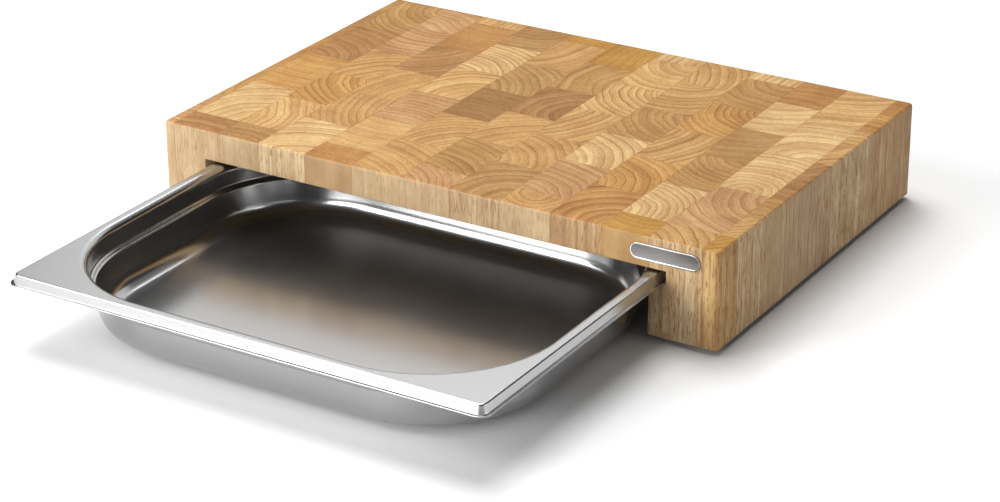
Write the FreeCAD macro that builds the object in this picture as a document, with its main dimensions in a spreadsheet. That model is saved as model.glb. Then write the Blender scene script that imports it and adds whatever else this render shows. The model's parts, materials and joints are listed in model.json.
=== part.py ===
import FreeCAD, Part
import math
import os

import Sketcher
from FreeCAD import Placement, Rotation, Vector

# End-grain chopping board with a sheet-steel tray that slides in two grooves under it.
# Frame: X to the right along the front, Y to the back, Z up, in millimetres.
# The origin is the centre of the board's plan, on the surface that its feet stand on.

SIZES = {
    # Tray: the standard half-size catering pan
    "tray_width": 325,
    "tray_length": 265,
    "tray_height": 40,
    "sheet_thickness": 0.8,
    "rim_width": 10.7,          # from the collar's outer wall to the outside of the bead
    "rim_height": 6.4,          # from the bead's underside to the top of the flange
    "bead_width": 3,
    "bead_thickness": 1,
    "bead_edge_radius": 0.4,
    "bead_corner_radius": 5,
    "flange_corner_radius": 2.2,
    "well_corner_radius": 78,
    "well_edge_radius": 4.5,
    "collar_depth": 15.5,         # from the flange's top to the stacking shoulder
    "shoulder_width": 4,
    "shoulder_radius": 2.5,
    "wall_draft": 4,            # degrees
    "floor_radius": 12,
    # Running clearances of the tray under the board
    "play_left": 3.2,
    "play_right": 0.8,
    "play_under": 0.3,
    "play_over": 1,
    "body_gap_left": 2.9,
    "body_gap_right": 0.5,
    "rear_margin": 5,           # how far the closed tray stops short of the back
    "pulled_out": 196,          # from flush with the front to the rest position
    # Wooden board
    "left_edge_width": 8,
    "right_edge_width": 11,
    "rail_width": 34.5,
    "end_strip_width": 31,
    "panel_thickness": 20,
    "floor_gap": 2,             # from the tray's underside to the level of the rails' undersides
    "plan_corner_radius": 3,
    "edge_radius": 2,
    # Lengths of the glued blocks along Y
    "panel_block_length": 51,
    "odd_first_block": 23,
    "even_first_block": 51,
    "rail_block_length": 62.5,
    "rail_first_block": 23,
    "left_edge_first_block": 54,
    "right_edge_block_length": 31.25,
    # Blank name plate on the front face
    "plate_length": 45.5,
    "plate_height": 10,
    "plate_thickness": 0.7,
    "plate_border_width": 0.8,
    "plate_border_height": 0.35,
    "plate_above_mouth": 4.8,
    "plate_from_right": 12,
    # Feet and their screws
    "foot_height": 3,
    "foot_radius": 7,
    "foot_floor_radius": 6.3,
    "foot_inset": 15,
    "foot_recess_depth": 1.7,
    "screw_head_radius": 2.9,
    "screw_head_height": 1.2,
    "screw_radius": 1.5,
    "screw_length": 12,
    "screw_point": 3,
    "screw_slot_width": 0.8,
    "screw_slot_depth": 0.6,
    "screw_clearance": 0.1,
    "screw_hole_spare": 1,      # how much deeper than the screw its hole goes
    "recess_clearance": 0.4,
}
PANEL_STRIPS = 9
SAME_LEVEL = 1e-4               # heights nearer to each other than this are one level
BOX_SLACK = 0.01                # how much larger than its edge a bounding box may be

# Sizes that follow from the ones above
DERIVED = {
    "channel_width": "Sizes.tray_width - 2 * Sizes.rim_width + Sizes.body_gap_left + Sizes.body_gap_right",
    "mid_strip_width": "(Sizes.channel_width - 2 * Sizes.end_strip_width) / %d" % (PANEL_STRIPS - 2),
    "board_width": "Sizes.left_edge_width + 2 * Sizes.rail_width + Sizes.channel_width"
                   " + Sizes.right_edge_width",
    "board_depth": "Sizes.tray_length + Sizes.rear_margin",
    "board_left": "-Sizes.board_width / 2",
    "board_front": "-Sizes.board_depth / 2",
    "channel_left": "Sizes.board_left + Sizes.left_edge_width + Sizes.rail_width",
    "channel_right": "Sizes.channel_left + Sizes.channel_width",
    "tray_left": "Sizes.channel_left + Sizes.body_gap_left - Sizes.rim_width",
    "tray_middle": "Sizes.tray_left + Sizes.tray_width / 2",
    "tray_centre_y": "Sizes.board_front - Sizes.pulled_out + Sizes.tray_length / 2",
    "groove_left": "Sizes.tray_left - Sizes.play_left",
    "groove_right": "Sizes.tray_left + Sizes.tray_width + Sizes.play_right",
    "tray_bottom": "Sizes.foot_height + Sizes.floor_gap",
    "flange_top": "Sizes.tray_bottom + Sizes.tray_height",
    "rim_bottom": "Sizes.flange_top - Sizes.rim_height",
    "groove_floor": "Sizes.rim_bottom - Sizes.play_under",
    "panel_underside": "Sizes.flange_top + Sizes.play_over",
    "board_top": "Sizes.panel_underside + Sizes.panel_thickness",
    "flange_width": "Sizes.tray_width - 2 * Sizes.bead_width",
    "flange_length": "Sizes.tray_length - 2 * Sizes.bead_width",
    "well_width": "Sizes.tray_width - 2 * Sizes.rim_width",
    "well_length": "Sizes.tray_length - 2 * Sizes.rim_width",
    "pan_width": "Sizes.well_width - 2 * Sizes.shoulder_width",
    "pan_length": "Sizes.well_length - 2 * Sizes.shoulder_width",
    "pan_corner_radius": "Sizes.well_corner_radius - Sizes.shoulder_width",
    "left_foot_x": "Sizes.board_left + Sizes.left_edge_width + Sizes.rail_width / 2",
    "right_foot_x": "Sizes.channel_right + Sizes.rail_width / 2",
    "front_foot_y": "Sizes.board_front + Sizes.foot_inset",
    "plate_right": "-Sizes.board_left - Sizes.plate_from_right",
    "plate_bottom": "Sizes.panel_underside + Sizes.plate_above_mouth",
}

document = FreeCAD.newDocument("ChoppingBoard")
sheet = document.addObject("Spreadsheet::Sheet", "Sizes")
for row, (alias, value) in enumerate(SIZES.items(), start=1):
    sheet.set("A%d" % row, alias.replace("_", " "))
    sheet.set("B%d" % row, str(value))
    sheet.setAlias("B%d" % row, alias)
for row, (alias, formula) in enumerate(DERIVED.items(), start=len(SIZES) + 2):
    sheet.set("A%d" % row, alias.replace("_", " "))
    sheet.set("B%d" % row, "=" + formula.replace("Sizes.", ""))
    sheet.setAlias("B%d" % row, alias)
document.recompute()


def value_of(formula):
    """The present value of a formula over the sheet's cells."""
    return float(sheet.evalExpression(formula))


# ---------------------------------------------------------------- sketches

def new_body(label):
    body = document.addObject("PartDesign::Body", label)
    body.Label = label
    return body


def new_sketch(body, name, plane, offset):
    """A sketch on one of the body's origin planes, moved along the plane's normal by a formula."""
    sketch = body.newObject("Sketcher::SketchObject", name)
    plane_feature = [p for p in body.Origin.OriginFeatures if p.Role == plane][0]
    sketch.AttachmentSupport = [(plane_feature, "")]
    sketch.MapMode = "FlatFace"
    sketch.setExpression("AttachmentOffset.Base.z", offset)
    return sketch


def pin_point(sketch, line, end, x_formula, y_formula):
    """Hold one end of a sketch line at a place given by two formulas."""
    across = sketch.addConstraint(Sketcher.Constraint("DistanceX", -1, 1, line, end, value_of(x_formula)))
    up = sketch.addConstraint(Sketcher.Constraint("DistanceY", -1, 1, line, end, value_of(y_formula)))
    sketch.setExpression("Constraints[%d]" % across, x_formula)
    sketch.setExpression("Constraints[%d]" % up, y_formula)


def draw_polygon(sketch, points):
    """A closed outline of straight lines; each point is a pair of formulas."""
    places = [Vector(value_of(x), value_of(y), 0) for x, y in points]
    first = sketch.GeometryCount
    for start, stop in zip(places, places[1:] + places[:1]):
        sketch.addGeometry(Part.LineSegment(start, stop), False)
    for index in range(len(points)):
        following = (index + 1) % len(points)
        sketch.addConstraint(Sketcher.Constraint("Coincident", first + index, 2, first + following, 1))
    for index, (x_formula, y_formula) in enumerate(points):
        pin_point(sketch, first + index, 1, x_formula, y_formula)


def draw_rounded_rectangle(sketch, middle, size, radius):
    """A rectangle with rounded corners; middle and size are pairs of formulas, radius is one."""
    cx, cy = (value_of(formula) for formula in middle)
    hx, hy = (value_of(formula) / 2 for formula in size)
    r = value_of(radius)
    first = sketch.GeometryCount
    corners = [(1, -1), (1, 1), (-1, 1), (-1, -1)]
    for index, (sx, sy) in enumerate(corners):
        centre = Vector(cx + sx * (hx - r), cy + sy * (hy - r), 0)
        start = math.radians(-90 + 90 * index)
        circle = Part.Circle(centre, Vector(0, 0, 1), r)
        sketch.addGeometry(Part.ArcOfCircle(circle, start, start + math.pi / 2), False)
    sides = [((hx, r - hy), (hx, hy - r)), ((hx - r, hy), (r - hx, hy)),
             ((-hx, hy - r), (-hx, r - hy)), ((r - hx, -hy), (hx - r, -hy))]
    for (ax, ay), (bx, by) in sides:
        line = Part.LineSegment(Vector(cx + ax, cy + ay, 0), Vector(cx + bx, cy + by, 0))
        sketch.addGeometry(line, False)
    for index in range(4):
        arc, side = first + index, first + 4 + index
        next_arc = first + (index + 1) % 4
        sketch.addConstraint(Sketcher.Constraint("Tangent", arc, 2, side, 1))
        sketch.addConstraint(Sketcher.Constraint("Tangent", side, 2, next_arc, 1))
    for index in range(1, 4):
        sketch.addConstraint(Sketcher.Constraint("Equal", first, first + index))
    sketch.addConstraint(Sketcher.Constraint("Vertical", first + 4))
    sketch.addConstraint(Sketcher.Constraint("Horizontal", first + 5))
    half = ["(%s) / 2" % formula for formula in size]
    held = [
        (Sketcher.Constraint("Radius", first, r), radius),
        (Sketcher.Constraint("DistanceX", -1, 1, first + 4, 1, cx + hx), "%s + %s" % (middle[0], half[0])),
        (Sketcher.Constraint("DistanceX", -1, 1, first + 6, 1, cx - hx), "%s - %s" % (middle[0], half[0])),
        (Sketcher.Constraint("DistanceY", -1, 1, first + 5, 1, cy + hy), "%s + %s" % (middle[1], half[1])),
        (Sketcher.Constraint("DistanceY", -1, 1, first + 7, 1, cy - hy), "%s - %s" % (middle[1], half[1])),
    ]
    for constraint, formula in held:
        sketch.setExpression("Constraints[%d]" % sketch.addConstraint(constraint), formula)


# ---------------------------------------------------------------- features

def pad(body, sketch, length):
    feature = body.newObject("PartDesign::Pad", sketch.Name + "Pad")
    feature.Profile = sketch
    feature.setExpression("Length", length)
    document.recompute()
    return feature


def fillet(body, name, base, wanted, radius):
    """Round the edges of a feature for which wanted(edge) is true."""
    edges = ["Edge%d" % (i + 1) for i, edge in enumerate(base.Shape.Edges) if wanted(edge)]
    if not edges:
        raise RuntimeError("%s finds no edge" % name)
    feature = body.newObject("PartDesign::Fillet", name)
    feature.Base = (base, edges)
    feature.setExpression("Radius", radius)
    document.recompute()
    return feature


def level_at(edge, height):
    """True for an edge that lies wholly at one height."""
    box = edge.BoundBox
    return abs(box.ZMin - height) < SAME_LEVEL and abs(box.ZMax - height) < SAME_LEVEL


# ---------------------------------------------------------------- the board

def make_envelope():
    """The glued-up board as one block: rounded edges, tray channel, grooves and screw holes.

    It only shapes the strips, and isn't a piece by itself.
    """
    body = new_body("board_envelope")
    outline = new_sketch(body, "BoardOutline", "XY_Plane", "Sizes.foot_height")
    draw_rounded_rectangle(outline, ("0", "0"), ("Sizes.board_width", "Sizes.board_depth"),
                           "Sizes.plan_corner_radius")
    block = pad(body, outline, "Sizes.board_top - Sizes.foot_height")
    low, high = value_of("Sizes.foot_height"), value_of("Sizes.board_top")
    rounded = fillet(body, "OuterEdges", block,
                     lambda edge: level_at(edge, low) or level_at(edge, high), "Sizes.edge_radius")

    mouth = new_sketch(body, "Mouth", "XZ_Plane", "0")
    draw_polygon(mouth, [
        ("Sizes.channel_left", "Sizes.foot_height - Sizes.edge_radius"),
        ("Sizes.channel_right", "Sizes.foot_height - Sizes.edge_radius"),
        ("Sizes.channel_right", "Sizes.groove_floor"),
        ("Sizes.groove_right", "Sizes.groove_floor"),
        ("Sizes.groove_right", "Sizes.panel_underside"),
        ("Sizes.groove_left", "Sizes.panel_underside"),
        ("Sizes.groove_left", "Sizes.groove_floor"),
        ("Sizes.channel_left", "Sizes.groove_floor"),
    ])
    channel = body.newObject("PartDesign::Pocket", "Channel")
    channel.Profile = mouth
    channel.Midplane = True
    channel.setExpression("Length", "2 * Sizes.board_depth")
    document.recompute()
    if channel.Shape.Volume >= rounded.Shape.Volume:
        raise RuntimeError("the channel cuts nothing")

    holes = new_sketch(body, "ScrewHoles", "XY_Plane", "Sizes.foot_height")
    for x_formula in ("Sizes.left_foot_x", "Sizes.right_foot_x"):
        for y_formula in ("Sizes.front_foot_y", "-Sizes.front_foot_y"):
            centre = Vector(value_of(x_formula), value_of(y_formula), 0)
            radius = value_of("Sizes.screw_radius + Sizes.screw_clearance")
            circle = holes.addGeometry(Part.Circle(centre, Vector(0, 0, 1), radius), False)
            pin_point(holes, circle, 3, x_formula, y_formula)
            held = holes.addConstraint(Sketcher.Constraint("Radius", circle, radius))
            holes.setExpression("Constraints[%d]" % held, "Sizes.screw_radius + Sizes.screw_clearance")
    drilled = body.newObject("PartDesign::Pocket", "Drilled")
    drilled.Profile = holes
    drilled.Reversed = True
    drilled.setExpression("Length", "Sizes.foot_recess_depth + Sizes.screw_length - Sizes.foot_height"
                                    " + Sizes.screw_hole_spare")
    document.recompute()
    if drilled.Shape.Volume >= channel.Shape.Volume:
        raise RuntimeError("the screw holes cut nothing")
    body.Tip = drilled
    document.recompute()
    return body


def make_strip(envelope, label, left, width, first_block, block_length):
    """One glued strip of the board: a row of end-grain blocks, front to back, shaped by the envelope."""
    depth = value_of("Sizes.board_depth")
    first, pitch = value_of(first_block), value_of(block_length)
    count = 1 + max(0, math.ceil((depth - first) / pitch - SAME_LEVEL))
    blocks = []
    for index in range(count):
        start = "Sizes.board_front"
        if index > 0:
            start += " + %s + %d * %s" % (first_block, index - 1, block_length)
        if index == count - 1:
            length = "-Sizes.board_front - (%s)" % start
        elif index == 0:
            length = first_block
        else:
            length = block_length
        box = document.addObject("Part::Box", "%s_box_%d" % (label, index + 1))
        box.setExpression("Placement.Base.x", left)
        box.setExpression("Placement.Base.y", start)
        box.setExpression("Length", width)
        box.setExpression("Width", length)
        box.setExpression("Height", "Sizes.board_top")
        block = document.addObject("Part::Common", "%s_block_%d" % (label, index + 1))
        block.Base = box
        block.Tool = envelope
        blocks.append(block)
    strip = document.addObject("Part::Compound", label)
    strip.Label = label
    strip.Links = blocks
    return strip


def make_strips():
    envelope = make_envelope()
    strips = [make_strip(envelope, "left_edge_strip", "Sizes.board_left", "Sizes.left_edge_width",
                         "Sizes.left_edge_first_block", "Sizes.rail_block_length"),
              make_strip(envelope, "left_rail", "Sizes.board_left + Sizes.left_edge_width",
                         "Sizes.rail_width", "Sizes.rail_first_block", "Sizes.rail_block_length")]
    for number in range(1, PANEL_STRIPS + 1):
        left, width = "Sizes.channel_left", "Sizes.end_strip_width"
        if number > 1:
            left += " + Sizes.end_strip_width + %d * Sizes.mid_strip_width" % (number - 2)
            width = "Sizes.mid_strip_width"
        if number == PANEL_STRIPS:
            width = "Sizes.end_strip_width"
        first_block = "Sizes.odd_first_block" if number % 2 else "Sizes.even_first_block"
        strips.append(make_strip(envelope, "panel_strip_%d" % number, left, width,
                                 first_block, "Sizes.panel_block_length"))
    strips.append(make_strip(envelope, "right_rail", "Sizes.channel_right", "Sizes.rail_width",
                             "Sizes.rail_first_block", "Sizes.rail_block_length"))
    strips.append(make_strip(envelope, "right_edge_strip", "Sizes.channel_right + Sizes.rail_width",
                             "Sizes.right_edge_width", "Sizes.rail_first_block",
                             "Sizes.right_edge_block_length"))
    return strips


# ---------------------------------------------------------------- the tray

def add_ring(body, name, height, thickness, outer, inner):
    """A flat ring of the tray's rim: outer and inner are (width, length, corner radius) formulas."""
    middle = ("Sizes.tray_middle", "Sizes.tray_centre_y")
    sketch = new_sketch(body, name, "XY_Plane", height)
    draw_rounded_rectangle(sketch, middle, outer[:2], outer[2])
    draw_rounded_rectangle(sketch, middle, inner[:2], inner[2])
    return pad(body, sketch, thickness)


def make_tray():
    """The pressed pan: collar, stacking shoulder, drafted wall and floor, then flange, lip and bead."""
    body = new_body("tray")
    middle = ("Sizes.tray_middle", "Sizes.tray_centre_y")
    shoulder = "Sizes.flange_top - Sizes.collar_depth"

    collar_sketch = new_sketch(body, "Collar", "XY_Plane", shoulder)
    draw_rounded_rectangle(collar_sketch, middle, ("Sizes.well_width", "Sizes.well_length"),
                           "Sizes.well_corner_radius")
    collar = pad(body, collar_sketch, "Sizes.collar_depth")
    ledge = value_of(shoulder)
    rounded = fillet(body, "ShoulderEdge", collar, lambda edge: level_at(edge, ledge),
                     "Sizes.shoulder_radius")

    pan_sketch = new_sketch(body, "Pan", "XY_Plane", shoulder)
    draw_rounded_rectangle(pan_sketch, middle, ("Sizes.pan_width", "Sizes.pan_length"),
                           "Sizes.pan_corner_radius")
    pan = body.newObject("PartDesign::Pad", "PanPad")
    pan.Profile = pan_sketch
    pan.Reversed = True
    pan.setExpression("Length", "Sizes.tray_height - Sizes.collar_depth")
    pan.setExpression("TaperAngle", "-Sizes.wall_draft")
    document.recompute()
    if pan.Shape.Volume <= rounded.Shape.Volume:
        raise RuntimeError("the pan adds nothing below the collar")
    bottom = value_of("Sizes.tray_bottom")
    solid = fillet(body, "FloorEdge", pan, lambda edge: level_at(edge, bottom), "Sizes.floor_radius")

    top = value_of("Sizes.flange_top")
    open_faces = ["Face%d" % (i + 1) for i, face in enumerate(solid.Shape.Faces)
                  if abs(face.BoundBox.ZMin - top) < SAME_LEVEL]
    sheet_metal = body.newObject("PartDesign::Thickness", "SheetMetal")
    sheet_metal.Base = (solid, open_faces)
    sheet_metal.Reversed = True
    sheet_metal.setExpression("Value", "Sizes.sheet_thickness")
    document.recompute()

    flange = ("Sizes.flange_width", "Sizes.flange_length", "Sizes.flange_corner_radius")
    opening = ("Sizes.well_width - 2 * Sizes.sheet_thickness",
               "Sizes.well_length - 2 * Sizes.sheet_thickness",
               "Sizes.well_corner_radius - Sizes.sheet_thickness")
    lip_inside = ("Sizes.flange_width - 2 * Sizes.sheet_thickness",
                  "Sizes.flange_length - 2 * Sizes.sheet_thickness",
                  "Sizes.flange_corner_radius - Sizes.sheet_thickness")
    bead = ("Sizes.tray_width", "Sizes.tray_length", "Sizes.bead_corner_radius")
    add_ring(body, "Flange", "Sizes.flange_top - Sizes.sheet_thickness", "Sizes.sheet_thickness",
             flange, opening)
    add_ring(body, "Lip", "Sizes.rim_bottom", "Sizes.rim_height", flange, lip_inside)
    rim = add_ring(body, "Bead", "Sizes.rim_bottom", "Sizes.bead_thickness", bead, lip_inside)

    well_reach = (value_of("Sizes.well_width") / 2, value_of("Sizes.well_length") / 2)
    flange_reach = (value_of("Sizes.flange_width") / 2, value_of("Sizes.flange_length") / 2)
    underside = value_of("Sizes.flange_top - Sizes.sheet_thickness")
    bead_levels = (value_of("Sizes.rim_bottom"), value_of("Sizes.rim_bottom + Sizes.bead_thickness"))

    def within(edge, limits):
        box = edge.BoundBox
        across = max(abs(box.XMin - value_of(middle[0])), abs(box.XMax - value_of(middle[0])))
        along = max(abs(box.YMin - value_of(middle[1])), abs(box.YMax - value_of(middle[1])))
        return across < limits[0] + BOX_SLACK and along < limits[1] + BOX_SLACK

    bend = fillet(body, "BendUnderFlange", rim,
                  lambda edge: level_at(edge, underside) and within(edge, well_reach),
                  "Sizes.well_edge_radius - Sizes.sheet_thickness")
    mouth = fillet(body, "WellEdge", bend, lambda edge: level_at(edge, top) and within(edge, well_reach),
                   "Sizes.well_edge_radius")
    fillet(body, "BeadEdges", mouth,
           lambda edge: any(level_at(edge, z) for z in bead_levels) and not within(edge, flange_reach),
           "Sizes.bead_edge_radius")
    return body


# ---------------------------------------------------------------- name plate, feet and screws

def draw_slot(sketch, middle, length, height):
    """A bar with half-round ends; all arguments are formulas."""
    cx, cy = (value_of(formula) for formula in middle)
    half, r = value_of("(%s - (%s)) / 2" % (length, height)), value_of(height) / 2
    first = sketch.GeometryCount
    for side in (1, -1):
        circle = Part.Circle(Vector(cx + side * half, cy, 0), Vector(0, 0, 1), r)
        start = -side * math.pi / 2
        sketch.addGeometry(Part.ArcOfCircle(circle, start, start + math.pi), False)
        run = Part.LineSegment(Vector(cx + side * half, cy + side * r, 0),
                               Vector(cx - side * half, cy + side * r, 0))
        sketch.addGeometry(run, False)
    for arc, line, next_arc in ((0, 1, 2), (2, 3, 0)):
        sketch.addConstraint(Sketcher.Constraint("Tangent", first + arc, 2, first + line, 1))
        sketch.addConstraint(Sketcher.Constraint("Tangent", first + line, 2, first + next_arc, 1))
    reach = "(%s - (%s)) / 2" % (length, height)
    pin_point(sketch, first, 3, "%s + %s" % (middle[0], reach), middle[1])
    pin_point(sketch, first + 2, 3, "%s - %s" % (middle[0], reach), middle[1])
    held = sketch.addConstraint(Sketcher.Constraint("Radius", first, r))
    sketch.setExpression("Constraints[%d]" % held, "(%s) / 2" % height)


def make_name_plate():
    """A blank plate with half-round ends and a raised border, stuck to the front above the mouth."""
    body = new_body("name_plate")
    middle = ("Sizes.plate_right - Sizes.plate_length / 2", "Sizes.plate_bottom + Sizes.plate_height / 2")
    ground = new_sketch(body, "Ground", "XZ_Plane", "-Sizes.board_front")
    draw_slot(ground, middle, "Sizes.plate_length", "Sizes.plate_height")
    pad(body, ground, "Sizes.plate_thickness")
    border = new_sketch(body, "Border", "XZ_Plane", "Sizes.plate_thickness - Sizes.board_front")
    draw_slot(border, middle, "Sizes.plate_length", "Sizes.plate_height")
    draw_slot(border, middle, "Sizes.plate_length - 2 * Sizes.plate_border_width",
              "Sizes.plate_height - 2 * Sizes.plate_border_width")
    pad(body, border, "Sizes.plate_border_height")
    return body


def turn_profile(body, points):
    """Revolve a closed outline of (radius, height) formulas about the body's Z axis."""
    sketch = new_sketch(body, body.Label + "_profile", "XZ_Plane", "0")
    draw_polygon(sketch, points)
    turned = body.newObject("PartDesign::Revolution", body.Label + "_turned")
    turned.Profile = sketch
    turned.ReferenceAxis = (sketch, ["V_Axis"])
    turned.Angle = 360
    document.recompute()
    return turned


def make_foot(label):
    """A rubber disc with a hole and a recess that hides the screw's head."""
    body = new_body(label)
    hole = "Sizes.screw_radius + Sizes.screw_clearance"
    recess = "Sizes.screw_head_radius + Sizes.recess_clearance"
    turn_profile(body, [
        (recess, "0"),
        ("Sizes.foot_floor_radius", "0"),
        ("Sizes.foot_radius", "Sizes.foot_height"),
        (hole, "Sizes.foot_height"),
        (hole, "Sizes.foot_recess_depth"),
        (recess, "Sizes.foot_recess_depth"),
    ])
    return body


def make_screw(label):
    """A slotted wood screw, head down, its head bearing on the foot's recess."""
    body = new_body(label)
    head_bottom = "Sizes.foot_recess_depth - Sizes.screw_head_height"
    tip = "Sizes.foot_recess_depth + Sizes.screw_length"
    turned = turn_profile(body, [
        ("0", head_bottom),
        ("Sizes.screw_head_radius", head_bottom),
        ("Sizes.screw_head_radius", "Sizes.foot_recess_depth"),
        ("Sizes.screw_radius", "Sizes.foot_recess_depth"),
        ("Sizes.screw_radius", "%s - Sizes.screw_point" % tip),
        ("0", tip),
    ])
    slot_sketch = new_sketch(body, label + "_slot", "XY_Plane", head_bottom)
    half_length = "(Sizes.screw_head_radius + Sizes.recess_clearance)"
    half_width = "Sizes.screw_slot_width / 2"
    draw_polygon(slot_sketch, [
        ("-%s" % half_length, "-%s" % half_width),
        (half_length, "-%s" % half_width),
        (half_length, half_width),
        ("-%s" % half_length, half_width),
    ])
    slot = body.newObject("PartDesign::Pocket", label + "_cut")
    slot.Profile = slot_sketch
    slot.Reversed = True
    slot.setExpression("Length", "Sizes.screw_slot_depth")
    document.recompute()
    if slot.Shape.Volume >= turned.Shape.Volume:
        raise RuntimeError("the screw's slot cuts nothing")
    return body


def make_feet():
    """A foot near each end of each rail, and the four screws as one group."""
    feet, screws = [], []
    for side, x_formula in (("left", "Sizes.left_foot_x"), ("right", "Sizes.right_foot_x")):
        for end, y_formula in (("front", "Sizes.front_foot_y"), ("back", "-Sizes.front_foot_y")):
            foot = make_foot("foot_%s_%s" % (end, side))
            screw = make_screw("screw_%s_%s" % (end, side))
            for body in (foot, screw):
                body.setExpression("Placement.Base.x", x_formula)
                body.setExpression("Placement.Base.y", y_formula)
            feet.append(foot)
            screws.append(screw)
    group = document.addObject("Part::Compound", "foot_screws")
    group.Label = "foot_screws"
    group.Links = screws
    return feet + [group]


# ---------------------------------------------------------------- build, check and write

pieces = make_strips() + [make_tray(), make_name_plate()] + make_feet()
document.recompute()
for thing in document.Objects:
    if "Invalid" in thing.State or "Error" in thing.State:
        raise RuntimeError("%s failed: %s" % (thing.Name, thing.State))
for piece in pieces:
    if piece.Shape.isNull() or not piece.Shape.isValid() or not piece.Shape.Solids:
        raise RuntimeError("%s has no valid solid" % piece.Label)

os.makedirs("parts", exist_ok=True)
for piece in pieces:
    piece.Shape.exportStep("parts/%s.step" % piece.Label)
    print("%-18s %2d solids %10.0f mm3" % (piece.Label, len(piece.Shape.Solids), piece.Shape.Volume))
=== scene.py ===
"""End-grain chopping board with a sheet-steel tray that slides under it, dressed for rendering."""
import json
import math
import random

import bpy
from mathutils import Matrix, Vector

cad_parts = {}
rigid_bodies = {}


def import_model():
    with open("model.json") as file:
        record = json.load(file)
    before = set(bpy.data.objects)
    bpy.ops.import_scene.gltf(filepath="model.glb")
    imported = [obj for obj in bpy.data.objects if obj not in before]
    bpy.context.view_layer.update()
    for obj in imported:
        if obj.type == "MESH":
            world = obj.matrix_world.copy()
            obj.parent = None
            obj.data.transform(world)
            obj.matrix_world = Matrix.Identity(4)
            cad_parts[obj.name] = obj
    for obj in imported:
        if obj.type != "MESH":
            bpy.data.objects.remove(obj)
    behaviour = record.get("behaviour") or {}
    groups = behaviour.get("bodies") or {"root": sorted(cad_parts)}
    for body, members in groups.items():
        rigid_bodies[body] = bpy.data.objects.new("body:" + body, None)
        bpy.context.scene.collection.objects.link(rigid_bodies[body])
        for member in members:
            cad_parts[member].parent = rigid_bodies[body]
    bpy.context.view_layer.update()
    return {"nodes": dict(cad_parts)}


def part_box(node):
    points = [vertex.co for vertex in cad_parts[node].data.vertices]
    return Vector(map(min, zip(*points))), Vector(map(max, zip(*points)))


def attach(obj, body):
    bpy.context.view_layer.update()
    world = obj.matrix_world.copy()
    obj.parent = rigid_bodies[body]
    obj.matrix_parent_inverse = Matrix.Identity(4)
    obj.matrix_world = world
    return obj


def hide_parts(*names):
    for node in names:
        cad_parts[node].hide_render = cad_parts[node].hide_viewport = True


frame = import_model()

bl_info = {
    "name": "Chopping board with tray",
    "version": (1, 0, 0),
    "blender": (4, 5, 0),
    "location": "3D View > Sidebar > Chopping board",
    "description": "Builds an end-grain board, its sliding steel tray and a plain studio",
    "category": "Add Mesh",
}

MM = 0.001
SAME_PLACE = 1e-5     # metres within which two faces or edges count as level
SAME_POINT = 1e-6     # metres within which two points count as one

# The blocks of each strip, from the front to the back. Each says where the tree's centre lies from
# the block's middle (a compass bearing with the back as north, then millimetres), the usual gap
# between growth rings in millimetres, and how bold the rings are from 0 to 9.
BLOCKS = {
    "left_edge_strip": "s 70 6 4, e 60 6 4, e 50 6 3, se 60 6 4, s 60 7 3",
    "left_rail": "s 60 8 6, se 49 7 5, n 90 9 3, ssw 40 7 6, ne 34 5 7",
    "panel_strip_1": "s 70 6 5, wsw 56 5 5, ne 51 5 8, se 48 7 7, n 50 6 5, ssw 57 6 5",
    "panel_strip_2": "sse 54 9 7, ene 56 5 5, ese 55 7 3, nw 49 6 7, n 60 9 2, w 70 5 5",
    "panel_strip_3": "s 60 8 2, n 60 7 2, s 85 5 5, se 33 6 8, ssw 42 4.5 8, nnw 31 6 5",
    "panel_strip_4": "ssw 70 6 5, se 48 5 7, s 60 6 3, sw 53 5.5 7, wnw 48 12 5, n 60 6 3",
    "panel_strip_5": "sw 60 5 5, ssw 60 6 7, se 62 8 5, ese 28 6 5, e 46 10 7, e 60 7 3",
    "panel_strip_6": "se 33 8 7, sw 39 6 7, wnw 75 5.5 7, ne 36 5 9, nne 31 7 5, w 90 5 8",
    "panel_strip_7": "nnw 10 5 5, ssw 42 6 7, sw 46 6 8, ne 40 5.5 7, nnw 38 6 7, wsw 80 5 7",
    "panel_strip_8": "se 33 8 7, sw 39 6 7, wnw 75 5.5 7, ne 36 5 9, nne 31 7 5, w 90 5 8",
    "panel_strip_9": "n 60 7 2, sw 36 4.5 7, nne 40 5 7, nnw 60 9 2, nnw 70 9 4, s 60 8 3",
    "right_rail": "sw 50 6 8, ne 39 8 6, s 30 5 5, sse 36 8 6, nnw 80 9 7",
    "right_edge_strip": "nw 60 5 8, nw 50 5 8, s 60 7 6, n 60 7 6, nw 60 6 7,"
                        " nw 50 6 8, s 40 6 7, s 45 6 7, s 60 7 6",
}

# How often each tone comes up when a block's tone is drawn.
TONES = {"cream": 3, "straw": 5, "honey": 8, "gold": 6, "rose": 4, "tan": 5, "amber": 3, "olive": 3,
         "brown": 2, "ochre": 1, "umber": 1}
BOLDEST = 9
COMPASS = "n nne ne ene e ese se sse s ssw sw wsw w wnw nw nnw".split()


# ---------------------------------------------------------------- sizes and colours to change

def length(name, description, millimetres):
    return bpy.props.FloatProperty(name=name, description=description, default=millimetres * MM,
                                   unit="LENGTH", precision=4)


def colour(name, description, rgb):
    return bpy.props.FloatVectorProperty(name=name, description=description, default=rgb,
                                         subtype="COLOR", size=3, min=0, max=1)


def amount(name, description, value):
    return bpy.props.FloatProperty(name=name, description=description, default=value)


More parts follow.
